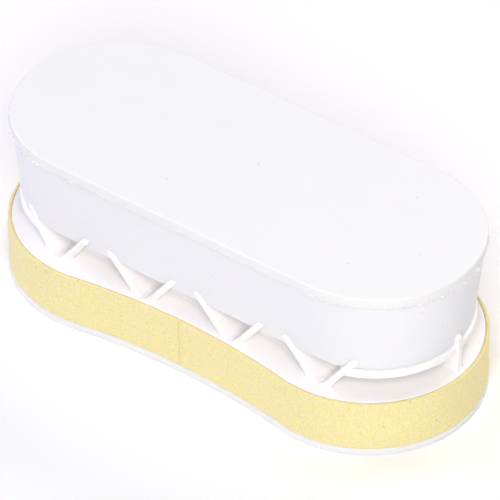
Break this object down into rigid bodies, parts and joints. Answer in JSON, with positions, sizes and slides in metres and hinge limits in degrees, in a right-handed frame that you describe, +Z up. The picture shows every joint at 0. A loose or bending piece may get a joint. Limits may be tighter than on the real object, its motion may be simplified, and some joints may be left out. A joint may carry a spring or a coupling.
{
  "type": "nail buffer block",
  "caption": "Hand-held nail buffer block: flat-topped oval grip on an open strut neck over a peanut-shaped base wrapped in a chamois strip.",
  "frame": {"origin": "on the floor, under the middle of the base", "axes": "+X along the length, +Z up from the base to the cap, +Y across the width; the two long sides are alike"},
  "size_m": [0.1226, 0.0546, 0.044],
  "materials": {
    "cap_plastic": "satin moulded white, very fine specks",
    "shell_plastic": "smooth satin white",
    "frame_plastic": "smooth satin white",
    "tray_plastic": "smooth satin white",
    "chamois": "napped chamois, pale yellow",
    "felt": "pressed felt",
    "steel": "zinc plated"
  },
  "bodies": {
    "root": {"top_cap": "cap_plastic", "grip_shell": "shell_plastic", "strut_frame": "frame_plastic", "base_tray": "tray_plastic", "felt_backing": "felt", "chamois_band": "chamois", "neck_screws": "steel", "base_screws": "steel"}
  },
  "joints": []
}
